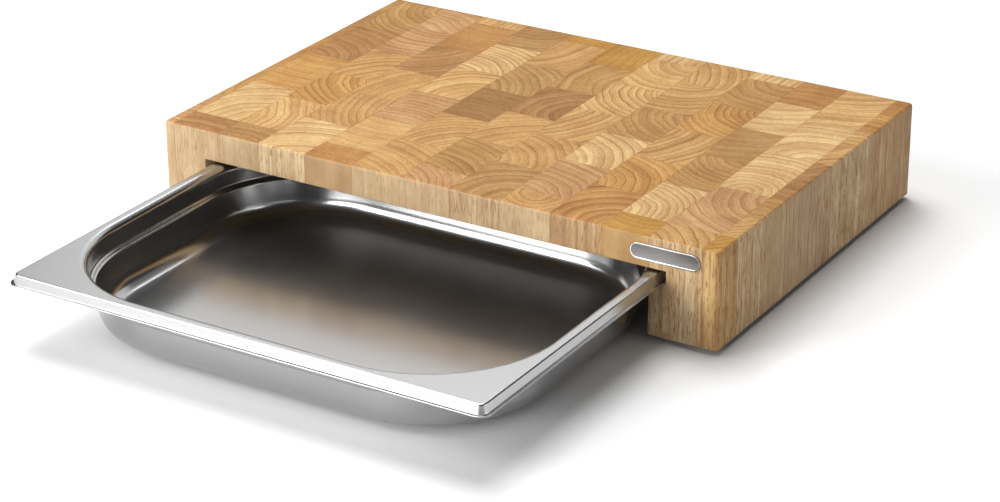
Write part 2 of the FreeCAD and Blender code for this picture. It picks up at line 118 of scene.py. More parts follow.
class BoardSettings(bpy.types.PropertyGroup):
    plan_corner: length("Plan corners", "Radius of the board's upright corners", 3)
    edge: length("Top edges", "Rounding of the board's top edges", 2)
    low_edge: length("Bottom edges", "Rounding of the board's bottom edges", 1)
    mouth: length("Mouth", "Softening of the edges where the tray goes in", 0.7)
    odd_first: length("Odd first block", "Front block of panel strips 1, 3, 5, 7 and 9", 23)
    even_first: length("Even first block", "Front block of panel strips 2, 4, 6 and 8", 51)
    panel_block: length("Panel block", "Length of the panel's other blocks", 51)
    rail_first: length("Rail first block", "Front block of the rails and the right edge", 23)
    rail_block: length("Rail block", "Length of the other blocks of the rails and left edge", 62.5)
    edge_first: length("Left edge first block", "Front block of the left edge strip", 54)
    right_edge_block: length("Right edge block", "Length of the right edge's other blocks", 31.25)
    tone_draw: bpy.props.IntProperty(name="Tone draw", default=5,
                                     description="Each number draws another mix of block tones")
    cream: colour("Cream", "Palest sapwood", (0.47, 0.30, 0.13))
    straw: colour("Straw", "Pale yellow wood", (0.44, 0.26, 0.10))
    honey: colour("Honey", "The board's middle tone", (0.39, 0.22, 0.08))
    gold: colour("Gold", "Warm yellow wood", (0.38, 0.20, 0.06))
    rose: colour("Rose", "Pinkish wood", (0.38, 0.21, 0.09))
    tan: colour("Tan", "Middle brown wood", (0.33, 0.18, 0.06))
    amber: colour("Amber", "Orange brown wood", (0.33, 0.16, 0.05))
    olive: colour("Olive", "Greyish brown wood", (0.31, 0.17, 0.06))
    brown: colour("Brown", "Dark wood", (0.28, 0.14, 0.05))
    ochre: colour("Ochre", "Strong yellow brown wood", (0.35, 0.18, 0.04))
    umber: colour("Umber", "Darkest wood", (0.24, 0.12, 0.04))
    late_wood: colour("Late wood", "The dark line that ends each growth ring", (0.22, 0.10, 0.03))
    long_grain: colour("Long grain", "Tint of the pale upright grain on the sides", (0.45, 0.35, 0.22))


class TraySettings(bpy.types.PropertyGroup):
    sheet: length("Sheet", "Thickness of the steel", 0.8)
    bead: length("Bead", "How far the rim's bead stands out", 3)
    bead_corner: length("Bead corner", "Plan radius of the bead", 7.5)
    rim_height: length("Rim height", "From the bead's underside to the flange", 6.4)
    lip_slope: length("Lip slope", "How far the lip leans outwards at its foot", 1.2)
    rim_width: length("Rim width", "From the collar's outer wall to the bead's outside", 10.7)
    well_corner: length("Well corner", "Plan radius of the collar's outer wall", 78)
    mouth: length("Mouth roll", "Radius where the flange turns down into the well", 4.5)
    collar: length("Collar", "From the flange down to the stacking shoulder", 15.5)
    shoulder: length("Shoulder", "Width of the stacking shoulder", 4)
    floor_round: length("Floor rounding", "Radius between wall and floor", 12)
    draft: amount("Draft", "Slope of the lower wall in degrees", 4)
    steel: colour("Steel", "Colour of the steel's reflections", (0.45, 0.45, 0.45))
    worn: colour("Rolled lines", "Colour of the darker rolling lines in the steel", (0.34, 0.34, 0.34))
    rough: amount("Roughness", "Roughness of the satin steel", 0.21)
    flange_satin: amount("Flange satin", "How much rougher the brushed flange is", 0.04)


class PlateSettings(bpy.types.PropertyGroup):
    border: length("Border", "Width of the raised border", 0.8)
    rise: length("Rise", "Height of the border above the ground", 0.35)
    bright: colour("Border colour", "Polished pewter of the border", (0.60, 0.58, 0.56))
    ground: colour("Ground colour", "Darkened pewter of the ground", (0.20, 0.19, 0.185))
    rubber: colour("Rubber", "Colour of the feet", (0.018, 0.018, 0.018))


class StudioSettings(bpy.types.PropertyGroup):
    floor: colour("Floor", "Colour of the floor", (0.80, 0.80, 0.80))
    sky: colour("Sky", "Colour of the soft light all round", (1.0, 1.0, 1.0))
    sky_strength: amount("Sky strength", "Strength of the light all round", 0.03)
    brightness: amount("Brightness", "Scales the softboxes together", 1.0)
    lens: amount("Lens", "Focal length in millimetres on a 36 mm sensor", 100.94)


GROUPS = {"chopping_board": BoardSettings, "chopping_tray": TraySettings,
          "chopping_plate": PlateSettings, "chopping_studio": StudioSettings}


# ---------------------------------------------------------------- modelling helpers

def deselect_all():
    if bpy.context.mode != "OBJECT":
        bpy.ops.object.mode_set(mode="OBJECT")
    for thing in list(bpy.context.view_layer.objects):
        thing.select_set(False)


def activate(*things):
    """Select these objects alone; the first becomes the active one."""
    deselect_all()
    for thing in things:
        thing.select_set(True)
    bpy.context.view_layer.objects.active = things[0]
    return things[0]


def add_cube(name, low, high):
    """A box between two corners, with its place in its mesh."""
    deselect_all()
    middle = [(a + b) / 2 for a, b in zip(low, high)]
    bpy.ops.mesh.primitive_cube_add(size=1, location=middle)
    cube = bpy.context.object
    cube.name = name
    cube.scale = [b - a for a, b in zip(low, high)]
    bpy.ops.object.transform_apply(location=True, rotation=True, scale=True)
    return cube


def edit(thing, select_mode="EDGE"):
    activate(thing)
    bpy.ops.object.mode_set(mode="EDIT")
    bpy.ops.mesh.select_mode(type=select_mode)
    bpy.ops.mesh.select_all(action="DESELECT")


def choose_edges(thing, wanted):
    """Select the edges whose two ends satisfy wanted(a, b), in edit mode."""
    bpy.ops.mesh.select_mode(type="EDGE")
    bpy.ops.mesh.select_all(action="DESELECT")
    bpy.ops.object.mode_set(mode="OBJECT")
    mesh = thing.data
    for edge in mesh.edges:
        a, b = (mesh.vertices[i].co for i in edge.vertices)
        edge.select = bool(wanted(a, b))
    bpy.ops.object.mode_set(mode="EDIT")


def choose_faces(thing, wanted):
    """Select the faces that satisfy wanted(face), in edit mode."""
    bpy.ops.mesh.select_mode(type="FACE")
    bpy.ops.mesh.select_all(action="DESELECT")
    bpy.ops.object.mode_set(mode="OBJECT")
    for face in thing.data.polygons:
        face.select = bool(wanted(face))
    bpy.ops.object.mode_set(mode="EDIT")


def close(a, b):
    return abs(a - b) < SAME_PLACE


def both_at(a, b, axis, value):
    return close(a[axis], value) and close(b[axis], value)


def subtract(thing, cutter):
    activate(thing)
    modifier = thing.modifiers.new("cut", "BOOLEAN")
    modifier.operation = "DIFFERENCE"
    modifier.solver = "EXACT"
    modifier.object = cutter
    bpy.ops.object.modifier_apply(modifier=modifier.name)
    bpy.data.objects.remove(cutter)


def slab(source, name, axis, low, high):
    """A copy of a solid, cut to the part between two planes square to an axis, with its ends closed."""
    activate(source)
    bpy.ops.object.duplicate()
    part = bpy.context.object
    part.name = name
    for value, keep_above in ((low, True), (high, False)):
        if value is None:
            continue
        edit(part)
        bpy.ops.mesh.select_all(action="SELECT")
        normal = [0, 0, 0]
        normal[axis] = 1
        point = [0, 0, 0]
        point[axis] = value
        bpy.ops.mesh.bisect(plane_co=point, plane_no=normal,
                            clear_inner=keep_above, clear_outer=not keep_above)
        # A wall that already lay in the plane goes first, so that the new end is the only face there.
        choose_faces(part, lambda face: abs(face.normal[axis]) > 0.99 and close(face.center[axis], value))
        bpy.ops.mesh.delete(type="FACE")
        bpy.ops.mesh.select_all(action="SELECT")
        bpy.ops.mesh.fill_holes(sides=0)
        bpy.ops.mesh.select_all(action="SELECT")
        bpy.ops.mesh.normals_make_consistent(inside=False)
    deselect_all()
    return part


def smooth(thing, degrees=32):
    activate(thing)
    bpy.ops.object.shade_smooth_by_angle(angle=math.radians(degrees))


def soften(thing, width, degrees):
    """Round every edge that turns by more than an angle."""
    activate(thing)
    edge = thing.modifiers.new("edge", "BEVEL")
    edge.width = width
    edge.segments = 3
    edge.limit_method = "ANGLE"
    edge.angle_limit = math.radians(degrees)
    bpy.ops.object.modifier_apply(modifier=edge.name)


def dress(piece, material, body, slot, *nodes):
    """Give a finished piece its material and its body, and hide the nodes that it stands for; the slot is
    not used.
    """
    piece.data.materials.clear()
    piece.data.materials.append(material)
    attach(piece, body)
    if nodes:
        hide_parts(*nodes)


# ---------------------------------------------------------------- shader helpers

class Sock:
    """A shader value that adds its Math nodes as Python expressions are worked out."""

    def __init__(self, paint, socket):
        self.paint = paint
        self.socket = socket

    def _math(self, operation, *others):
        return self.paint.node("ShaderNodeMath", {"operation": operation},
                               dict(enumerate((self,) + others)))

    def __add__(self, other):
        return self._math("ADD", other)

    def __radd__(self, other):
        return self._math("ADD", other)

    def __sub__(self, other):
        return self._math("SUBTRACT", other)

    def __rsub__(self, other):
        return self.paint.node("ShaderNodeMath", {"operation": "SUBTRACT"}, {0: other, 1: self})

    def __mul__(self, other):
        return self._math("MULTIPLY", other)

    def __truediv__(self, other):
        return self._math("DIVIDE", other)

    def __pow__(self, other):
        return self._math("POWER", other)

    def __abs__(self):
        return self._math("ABSOLUTE")

    def floor(self):
        return self._math("FLOOR")

    def fraction(self):
        return self._math("FRACT")

    def least(self, other):
        return self._math("MINIMUM", other)

    def most(self, other):
        return self._math("MAXIMUM", other)

    def ramp(self, low, high, bottom=0.0, top=1.0):
        """Smoothly from bottom to top as this value goes from low to high."""
        return self.paint.node("ShaderNodeMapRange",
                               {"interpolation_type": "SMOOTHSTEP", "clamp": True},
                               {"Value": self, "From Min": low, "From Max": high,
                                "To Min": bottom, "To Max": top})


class Paint:
    """A node material under construction."""

    def __init__(self, name):
        self.material = bpy.data.materials.new(name)
        self.material.use_nodes = True
        self.tree = self.material.node_tree
        self.shader = self.tree.nodes["Principled BSDF"]

    def node(self, kind, settings=None, inputs=None, output=0):
        """Add a node: settings first, then values or links of its sockets; gives one output."""
        made = self.tree.nodes.new(kind)
        for key, value in (settings or {}).items():
            setattr(made, key, value)
        for key, value in (inputs or {}).items():
            self.link(value, made.inputs[key])
        return Sock(self, made.outputs[output])

    def link(self, value, socket):
        if isinstance(value, Sock):
            self.tree.links.new(value.socket, socket)
        else:
            socket.default_value = value

    def position(self):
        """The place on the object, in millimetres of the object's own frame."""
        point = self.node("ShaderNodeTexCoord", output="Object")
        return self.scaled(point, (1 / MM,) * 3)

    def scaled(self, vector, factors):
        return self.node("ShaderNodeVectorMath", {"operation": "MULTIPLY"}, {0: vector, 1: factors})

    def shifted(self, vector, other):
        return self.node("ShaderNodeVectorMath", {"operation": "ADD"}, {0: vector, 1: other})

    def parts(self, vector):
        split = self.node("ShaderNodeSeparateXYZ", inputs={0: vector})
        outputs = split.socket.node.outputs
        return [Sock(self, outputs[i]) for i in range(3)]

    def join(self, x, y, z):
        return self.node("ShaderNodeCombineXYZ", inputs={0: x, 1: y, 2: z})

    def noise(self, vector, scale=1.0, detail=2.0, roughness=0.5, output="Fac"):
        return self.node("ShaderNodeTexNoise", {"noise_dimensions": "3D"},
                         {"Vector": vector, "Scale": scale, "Detail": detail, "Roughness": roughness},
                         output)

    def dice(self, vector):
        """An even random number for each value of a vector."""
        return self.node("ShaderNodeTexWhiteNoise", {"noise_dimensions": "3D"}, {"Vector": vector}, "Value")

    def attribute(self, name, output="Vector"):
        return self.node("ShaderNodeAttribute", {"attribute_type": "GEOMETRY", "attribute_name": name},
                         output=output)

    def mix(self, factor, a, b, blend="MIX"):
        made = self.tree.nodes.new("ShaderNodeMix")
        made.data_type = "RGBA"
        made.blend_type = blend
        made.clamp_factor = True
        self.link(factor, made.inputs[0])
        for value, index in ((a, 6), (b, 7)):
            if not isinstance(value, Sock) and len(value) == 3:
                value = tuple(value) + (1.0,)
            self.link(value, made.inputs[index])
        return Sock(self, made.outputs[2])

    def deepened(self, tint, shade):
        """Wood made lighter or darker: the darker it gets, the more its yellow turns to brown."""
        shade = shade.most(0.05)
        return self.mix(1.0, tint, self.join(shade, shade ** 1.4, shade ** 1.8), "MULTIPLY")

    def bump(self, height, strength, distance):
        return self.node("ShaderNodeBump", inputs={"Height": height, "Strength": strength,
                                                   "Distance": distance}, output="Normal")

    def finish(self, **values):
        for key, value in values.items():
            name = key.replace("_", " ").title().replace("Ior", "IOR")
            if not isinstance(value, Sock) and hasattr(value, "__len__") and len(value) == 3:
                value = tuple(value) + (1.0,)
            self.link(value, self.shader.inputs[name])
        return self.material


# ---------------------------------------------------------------- materials

RING_WANDER = 7     # millimetres by which a ring centre drifts from place to place


def growth_rings(paint, place, seed):
    """Where a point lies from its block's ring centre, the line that ends each ring and the band in it."""
    x, y, z = paint.parts(place)
    pith_x, pith_y, gap = paint.parts(paint.attribute("pith"))
    drift = paint.join(x, y, z * 0.06 + seed * 37)
    wander = paint.node("ShaderNodeVectorMath", {"operation": "SUBTRACT"},
                        {0: paint.noise(drift, 0.035, 2, output="Color"), 1: (0.5, 0.5, 0.5)})
    wx, wy, _ = paint.parts(wander)
    across = x - pith_x + wx * RING_WANDER
    along = y - pith_y + wy * RING_WANDER
    radius = (across * across + along * along) ** 0.5
    pace = paint.noise(paint.join(radius * 0.05, seed * 91, 0.0), 1.0, 1)
    count = radius / gap + pace * 1.5
    ring = count.floor()
    left = (1 - count.fraction()) * gap
    chance = paint.dice(paint.join(ring, seed * 53, 1.0))
    mood = paint.dice(paint.join(ring, seed * 53, 9.0))

    # Each ring starts pale, darkens slowly outwards and ends in a thin line.
    line = left.ramp(0.2, 0.4) * left.ramp(0.5, 1.4, 1.0, 0.0) * (chance ** 2 * 0.8 + 0.2)
    fade = (1 - left / gap) ** 2 - 0.33
    thin = (count * 3.1 + chance * 0.5).fraction().ramp(0.62, 1.0) * 0.5
    sweep = paint.noise(paint.join(radius * 0.16, seed * 91, z * 0.01 + 5), 1.0, 3, 0.6) - 0.5
    band = (mood - 0.5) * 0.14 - fade * 0.30 - thin * 0.24 + sweep * 0.95
    return across, along, radius, line, band


def glue_lines(paint, place):
    """A dark glue line round each block, broken up so that it is seen here and there."""
    x, y, _ = paint.parts(place)
    start_x, start_y, _ = paint.parts(paint.attribute("start"))
    stop_x, stop_y, _ = paint.parts(paint.attribute("stop"))
    inside = (x - start_x).least(stop_x - x).least(y - start_y).least(stop_y - y)
    return inside.ramp(0.1, 0.5, 1.0, 0.0) * paint.noise(place, 0.07, 1).ramp(0.35, 0.6, 0.15, 0.55)


def wood_material(settings):
    """Growth rings about each block's own centre, seen end-on above and as upright grain on the sides."""
    paint = Paint("end_grain_wood")
    place = paint.position()
    seed, bold, _ = paint.parts(paint.attribute("character"))
    tone = paint.attribute("tone", "Color")
    across, along, radius, line, band = growth_rings(paint, place, seed)
    glue = glue_lines(paint, place)

    up = paint.parts(paint.node("ShaderNodeNewGeometry", output="Normal"))[2]
    end_grain = abs(up).ramp(0.55, 0.85)
    # Painted shade: faces that look downwards, such as the channel's ceiling and the board's bottom edges,
    # are darkened in their colour.
    painted_underside_shade = (up * -1).ramp(0.25, 0.8)

    hatch = paint.noise(paint.join(radius * 1.0, across * 0.22, along * 0.22 + seed * 17), 1.5, 2, 0.6)
    speckle = paint.noise(place, 1.9, 3, 0.7)
    blotch = paint.noise(paint.shifted(place, paint.join(0.0, 0.0, seed * 71)), 0.045, 3)
    vessels = paint.noise(paint.scaled(place, (1.0, 1.0, 0.12)), 1.0, 3, 0.6).ramp(0.50, 0.64)
    streaks = paint.noise(paint.scaled(place, (1.0, 1.0, 0.04)), 0.42, 4, 0.65)

    depth = bold * 0.75 + 0.25
    shaded = paint.deepened(tone, 1.0 + band * depth + (blotch - 0.5) * 0.5)
    end_colour = paint.deepened(shaded, 1 + (hatch - 0.5) * 0.75 + (speckle - 0.5) * 0.75)
    end_colour = paint.mix(line * depth * 0.85, end_colour, settings.late_wood)

    # Upright grain is paler than end grain, least so in the more orange blocks.
    red, _, blue = paint.parts(tone)
    side_tone = paint.mix((blue / red).ramp(0.12, 0.20, 0.35, 0.66), shaded, settings.long_grain)
    side_depth = bold * bold * 1.2 + 0.05
    mottle = (blotch - 0.5) * 0.4 + (speckle - 0.5) * 0.3
    side = paint.deepened(side_tone, 0.99 + ((streaks - 0.5) * 0.9 + band * 0.35) * side_depth + mottle)
    side = paint.mix((line * 0.2 + vessels * 0.8) * side_depth, side, settings.late_wood)

    surface = paint.mix(end_grain, side, end_colour)
    surface = paint.mix(glue, surface, settings.late_wood)
    # Painted shade: downward faces are mixed up to 60 percent towards black.
    surface = paint.mix(painted_underside_shade * 0.6, surface, (0.0, 0.0, 0.0))
    height = line * -0.4 + vessels * (1 - end_grain) * -0.6 + speckle * 0.5 - glue
    rough = 0.58 + speckle * 0.16
    return paint.finish(base_color=surface, roughness=rough, normal=paint.bump(height, 0.25, 0.0002),
                        specular_ior_level=0.12)


def steel_material(settings):
    """Satin stainless sheet with a faint all-over grain."""
    paint = Paint("satin_steel")
    place = paint.position()
    fine = paint.noise(place, 0.9, 4, 0.6)
    cloud = paint.noise(place, 0.02, 2)
    rolled = paint.noise(paint.scaled(place, (0.02, 1.1, 1.1)), 1.0, 3, 0.7)
    flange = paint.parts(place)[2].ramp(43.0, 44.5) * settings.flange_satin
    rough = settings.rough + flange + (fine - 0.5) * 0.03 + (cloud - 0.5) * 0.05 + (rolled - 0.5) * 0.05
    tint = paint.mix((rolled - 0.5) * 0.3 + (cloud - 0.5) * 0.3 + 0.1, settings.steel, settings.worn)
    return paint.finish(base_color=tint, metallic=0.985, roughness=rough,
                        normal=paint.bump(fine, 0.002, 0.0001))


def pewter_material(settings):
    """Pewter whose low ground is darkened and stippled and whose border is bright."""
    paint = Paint("pewter")
    place = paint.position()
    front = paint.parts(place)[1]
    low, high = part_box("name_plate")
    raised = front.ramp((low[1] + 0.15 * settings.rise) / MM, (low[1] + 0.7 * settings.rise) / MM, 1.0, 0.0)
    stipple = paint.noise(place, 3.0, 3, 0.6)
    tint = paint.mix(raised, settings.ground, settings.bright)
    rough = 0.42 - raised * 0.16 + (stipple - 0.5) * 0.2
    return paint.finish(base_color=tint, metallic=1.0, roughness=rough,
                        normal=paint.bump(stipple * (1.15 - raised), 0.5, 0.0003))


def rubber_material(settings):
    paint = Paint("foot_rubber")
    grain = paint.noise(paint.position(), 2.5, 3)
    return paint.finish(base_color=settings.rubber, roughness=0.7 + grain * 0.15,
                        normal=paint.bump(grain, 0.2, 0.0002))


def screw_material(settings):
    paint = Paint("screw_steel")
    turned = paint.noise(paint.scaled(paint.position(), (1.0, 1.0, 6.0)), 1.5, 3)
    return paint.finish(base_color=settings.bright, metallic=1.0, roughness=0.30 + turned * 0.15)


# ---------------------------------------------------------------- the board

GROOVE_PLAY_LEFT = 3.2 * MM
GROOVE_PLAY_RIGHT = 0.8 * MM
GROOVE_PLAY_BELOW = 0.3 * MM
BEYOND = 10 * MM     # how far a block's bounds reach past the board, where it has no glue line


def board_block(settings):
    """The glued-up board as one rounded block with the tray's channel and grooves cut through it."""
    strips = [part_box(name) for name in BLOCKS]
    low = Vector(min(b[0][i] for b in strips) for i in range(3))
    high = Vector(max(b[1][i] for b in strips) for i in range(3))
    block = add_cube("board_block", low, high)

    edit(block)
    choose_edges(block, lambda a, b: close(a.x, b.x) and close(a.y, b.y))
    bpy.ops.mesh.bevel(offset=settings.plan_corner, segments=8, affect="EDGES")
    for level, rounding in ((high.z, settings.edge), (low.z, settings.low_edge)):
        choose_edges(block, lambda a, b: both_at(a, b, 2, level))
        bpy.ops.mesh.bevel(offset=rounding, segments=5, affect="EDGES")
    deselect_all()

    tray_low, tray_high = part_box("tray")
    left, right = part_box("left_rail")[1].x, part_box("right_rail")[0].x
    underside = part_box("panel_strip_5")[0].z
    groove = settings_of("chopping_tray").rim_height
    floor = tray_high.z - groove - GROOVE_PLAY_BELOW
    groove_left, groove_right = tray_low.x - GROOVE_PLAY_LEFT, tray_high.x + GROOVE_PLAY_RIGHT
    beyond = 2 * high.y
    subtract(block, add_cube("channel", (left, -beyond, -underside), (right, beyond, underside)))
    subtract(block, add_cube("grooves", (groove_left, -beyond, floor), (groove_right, beyond, underside)))

    def on_mouth(a, b):
        if not any(both_at(a, b, 1, y) for y in (low.y, high.y)):
            return False
        uprights = (left, right, groove_left, groove_right)
        levels = (floor, underside)
        return any(both_at(a, b, 0, x) for x in uprights) or any(both_at(a, b, 2, z) for z in levels)

    edit(block)
    choose_edges(block, on_mouth)
    bpy.ops.mesh.bevel(offset=settings.mouth, segments=3, affect="EDGES")
    deselect_all()
    return block


def block_joints(settings, name):
    """Where the strip's blocks meet, from the front face to the back face."""
    low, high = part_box(name)
    if name == "left_edge_strip":
        first, pitch = settings.edge_first, settings.rail_block
    elif name == "right_edge_strip":
        first, pitch = settings.rail_first, settings.right_edge_block
    elif name.endswith("rail"):
        first, pitch = settings.rail_first, settings.rail_block
    else:
        odd = int(name.rsplit("_", 1)[1]) % 2
        first, pitch = (settings.odd_first if odd else settings.even_first), settings.panel_block
    joints = [low.y]
    place = low.y + first
    while place < high.y - SAME_POINT:
        joints.append(place)
        place += pitch
    return joints + [high.y]


def mark_block(block, recipe, tone, seed, middle):
    """Write a block's own growth-ring centre, ring gap, boldness and tone on its mesh."""
    bearing, distance, gap, bold = recipe.split()
    turn = math.tau * COMPASS.index(bearing) / len(COMPASS)
    pith = (middle[0] / MM + float(distance) * math.sin(turn),
            middle[1] / MM + float(distance) * math.cos(turn), float(gap))
    mark(block, "pith", "FLOAT_VECTOR", pith)
    mark(block, "character", "FLOAT_VECTOR", (seed, float(bold) / BOLDEST, 0.0))
    mark(block, "tone", "FLOAT_COLOR", tuple(tone) + (1.0,))


def mark(block, name, kind, value):
    """Give every point of a block the same value of a mesh attribute."""
    layer = block.data.attributes.new(name, kind, "POINT")
    key = "color" if kind == "FLOAT_COLOR" else "vector"
    layer.data.foreach_set(key, list(value) * len(block.data.vertices))


def cut_blocks(strip, settings, name, number, outer_left, outer_right, draw):
    """The strip cut at its joints, each block marked with its recipe, its tone and its bounds."""
    low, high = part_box(name)
    joints = block_joints(settings, name)
    recipes = BLOCKS[name].split(", ")
    if len(recipes) != len(joints) - 1:
        raise RuntimeError("%s has %d blocks, not %d" % (name, len(joints) - 1, len(recipes)))
    blocks = []
    for index, recipe in enumerate(recipes):
        front, back = joints[index], joints[index + 1]
        first, last = index == 0, index == len(recipes) - 1
        block = slab(strip, "block", 1, None if first else front, None if last else back)
        middle = ((low.x + high.x) / 2, (front + back) / 2)
        seed = (number * 7 + index * 3) % 97 / 97 + number * 0.13
        tone = getattr(settings, draw.choices(list(TONES), TONES.values())[0])
        mark_block(block, recipe, tone, seed, middle)
        start = (low.x - (BEYOND if outer_left else 0), front - (BEYOND if first else 0), 0.0)
        stop = (high.x + (BEYOND if outer_right else 0), back + (BEYOND if last else 0), 0.0)
        mark(block, "start", "FLOAT_VECTOR", Vector(start) / MM)
        mark(block, "stop", "FLOAT_VECTOR", Vector(stop) / MM)
        blocks.append(block)
    return blocks


def make_board(settings):
    """The board's strips, each cut from the one block and then into its own blocks."""
    whole = board_block(settings)
    wood = wood_material(settings)
    draw = random.Random(settings.tone_draw)
    for number, name in enumerate(BLOCKS):
        low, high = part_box(name)
        outer_left, outer_right = number == 0, number == len(BLOCKS) - 1
        strip = slab(whole, name + "_source", 0, None if outer_left else low.x,
                     None if outer_right else high.x)
        blocks = cut_blocks(strip, settings, name, number, outer_left, outer_right, draw)
        activate(*blocks)
        bpy.ops.object.join()
        piece = bpy.context.object
        piece.name = name + "_wood"
        bpy.data.objects.remove(strip)
        smooth(piece)
        dress(piece, wood, "board", "end_grain_wood", name)
    bpy.data.objects.remove(whole)


# ---------------------------------------------------------------- the tray

def rounded_plate(name, low, high, level, radius, segments):
    """One flat face with rounded corners, at a level."""
    deselect_all()
    middle = ((low[0] + high[0]) / 2, (low[1] + high[1]) / 2, level)
    bpy.ops.mesh.primitive_plane_add(size=1, location=middle)
    plate = bpy.context.object
    plate.name = name
    plate.scale = (high[0] - low[0], high[1] - low[1], 1)
    bpy.ops.object.transform_apply(location=True, rotation=True, scale=True)
    edit(plate, "VERT")
    bpy.ops.mesh.select_all(action="SELECT")
    bpy.ops.mesh.bevel(offset=radius, segments=segments, affect="VERTICES")
    deselect_all()
    return plate


def inset_steps(thing, steps):
    """Inset the one upward face again and again; each step is (inwards, upwards)."""
    edit(thing, "FACE")
    bpy.ops.mesh.select_all(action="SELECT")
    for inwards, upwards in steps:
        bpy.ops.mesh.inset(thickness=inwards, depth=upwards, use_even_offset=True)
    deselect_all()


def arc_steps(radius, start, stop, count):
    """The steps along an arc of a section, from one direction of travel to another, in degrees.

    A direction of 0 goes inwards and 90 goes up, so -90 goes down.
    """
    steps = []
    sign = 1 if stop > start else -1
    for index in range(count):
        a = math.radians(start + (stop - start) * index / count)
        b = math.radians(start + (stop - start) * (index + 1) / count)
        steps.append((sign * radius * (math.sin(b) - math.sin(a)),
                      sign * radius * (math.cos(a) - math.cos(b))))
    return steps


BEND = 0.3 * MM            # inside radius of the lip's bends
FLAT = 0.4 * MM            # flat ring on each side of the bridged flange
SHOULDER_BEND = 1.7 * MM   # radius between the collar and the shoulder
WALL_BEND = 1.5 * MM       # radius between the shoulder and the lower wall
SHEET_EDGE = 0.3 * MM      # rounding of the sheet's cut edge


def rim_steps(settings):
    """From the bead's edge inwards, up the lip and over to the flange."""
    outer_bend = BEND + settings.sheet
    lip = settings.rim_height - settings.sheet
    steps = [(settings.bead - BEND - settings.lip_slope, 0.0)]
    steps += arc_steps(BEND, 0, 90, 4)
    steps += [(settings.lip_slope, lip - BEND - outer_bend)]
    steps += arc_steps(outer_bend, 90, 0, 5)
    return steps + [(FLAT, 0.0)]


def well_steps(settings, depth):
    """From the flange's inner edge down the collar, over the shoulder and down to the floor."""
    draft = 90 - settings.draft
    steps = [(FLAT, 0.0)]
    steps += arc_steps(settings.mouth, 0, -90, 8)
    steps += [(0.0, -(settings.collar - settings.sheet - settings.mouth - SHOULDER_BEND))]
    steps += arc_steps(SHOULDER_BEND, -90, 0, 5)
    steps += [(settings.shoulder - SHOULDER_BEND - WALL_BEND, 0.0)]
    steps += arc_steps(WALL_BEND, 0, -draft, 5)
    bottom_arc = arc_steps(settings.floor_round - settings.sheet, -draft, 0, 10)
    fall = -depth - sum(up for _, up in steps) - sum(up for _, up in bottom_arc)
    steps += [(-fall * math.tan(math.radians(settings.draft)), fall)]
    return steps + bottom_arc + [(3 * MM, 0.0)]


def make_tray(settings):
    """The pan's upper surface in two parts, rim and well, bridged by the flange and then given its sheet."""
    low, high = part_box("tray")
    sheet = settings.sheet
    rim = rounded_plate("rim", low, high, high.z - settings.rim_height + sheet, settings.bead_corner, 10)
    inset_steps(rim, rim_steps(settings))

    start = settings.rim_width + sheet - settings.mouth - FLAT
    well_radius = settings.well_corner - sheet + settings.mouth + FLAT
    well = rounded_plate("well", (low.x + start, low.y + start), (high.x - start, high.y - start), high.z,
                         well_radius, 28)
    inset_steps(well, well_steps(settings, high.z - low.z - sheet))

    # Open the rim's last face and bridge it to the well's outside.
    edit(rim, "FACE")
    choose_faces(rim, lambda face: len(face.vertices) > 4)
    bpy.ops.mesh.delete(type="FACE")
    activate(rim, well)
    bpy.ops.object.join()
    tray = bpy.context.object
    tray.name = "steel_tray"
    edit(tray)
    choose_open_loops(tray, high.z)
    bpy.ops.mesh.bridge_edge_loops()
    edit(tray)
    bpy.ops.mesh.select_all(action="SELECT")
    bpy.ops.mesh.remove_doubles(threshold=SAME_POINT)
    bpy.ops.mesh.normals_make_consistent(inside=False)
    deselect_all()
    if sum(face.normal.z * face.area for face in tray.data.polygons) < 0:
        edit(tray)
        bpy.ops.mesh.select_all(action="SELECT")
        bpy.ops.mesh.flip_normals()
        deselect_all()
    activate(tray)
    wall = tray.modifiers.new("sheet", "SOLIDIFY")
    wall.thickness = sheet
    wall.offset = -1
    wall.use_even_offset = True
    bpy.ops.object.modifier_apply(modifier=wall.name)
    soften(tray, SHEET_EDGE, 50)
    smooth(tray)
    dress(tray, steel_material(settings), "tray", "tray_steel", "tray")


def choose_open_loops(thing, level):
    """Select the open edges at one level, which are the two loops on the flange, in edit mode."""
    bpy.ops.mesh.select_mode(type="EDGE")
    bpy.ops.mesh.select_all(action="DESELECT")
    bpy.ops.object.mode_set(mode="OBJECT")
    mesh = thing.data
    uses = {}
    for face in mesh.polygons:
        for key in face.edge_keys:
            uses[key] = uses.get(key, 0) + 1
    for edge in mesh.edges:
        a, b = (mesh.vertices[i].co for i in edge.vertices)
        edge.select = uses.get(edge.key, 0) == 1 and both_at(a, b, 2, level)
    bpy.ops.object.mode_set(mode="EDIT")


# ---------------------------------------------------------------- plate and feet

PLATE_EDGE = 0.15 * MM     # the border's slope and its edge rounding


def make_plate(settings):
    """The blank plate: a bar with half-round ends, a raised border and a lower ground."""
    low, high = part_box("name_plate")
    plate = add_cube("blank_plate", low, high)
    half = (high.z - low.z) / 2
    edit(plate)
    choose_edges(plate, lambda a, b: close(a.x, b.x) and close(a.z, b.z))
    bpy.ops.mesh.bevel(offset=half, segments=12, affect="EDGES")
    bpy.ops.mesh.select_all(action="SELECT")
    bpy.ops.mesh.remove_doubles(threshold=0.02 * MM)
    choose_faces(plate, lambda face: close(face.center.y, low.y) and face.normal.y < -0.9)
    bpy.ops.mesh.inset(thickness=settings.border, use_even_offset=True)
    bpy.ops.mesh.inset(thickness=PLATE_EDGE, depth=-settings.rise, use_even_offset=True)
    deselect_all()
    soften(plate, PLATE_EDGE, 40)
    smooth(plate)
    dress(plate, pewter_material(settings), "board", "plate_metal", "name_plate")


def make_feet(settings):
    rubber, screw = rubber_material(settings), screw_material(settings)
    for name, node in frame["nodes"].items():
        if name.startswith("foot_"):
            node.data.materials.clear()
            node.data.materials.append(screw if name == "foot_screws" else rubber)


# ---------------------------------------------------------------- studio

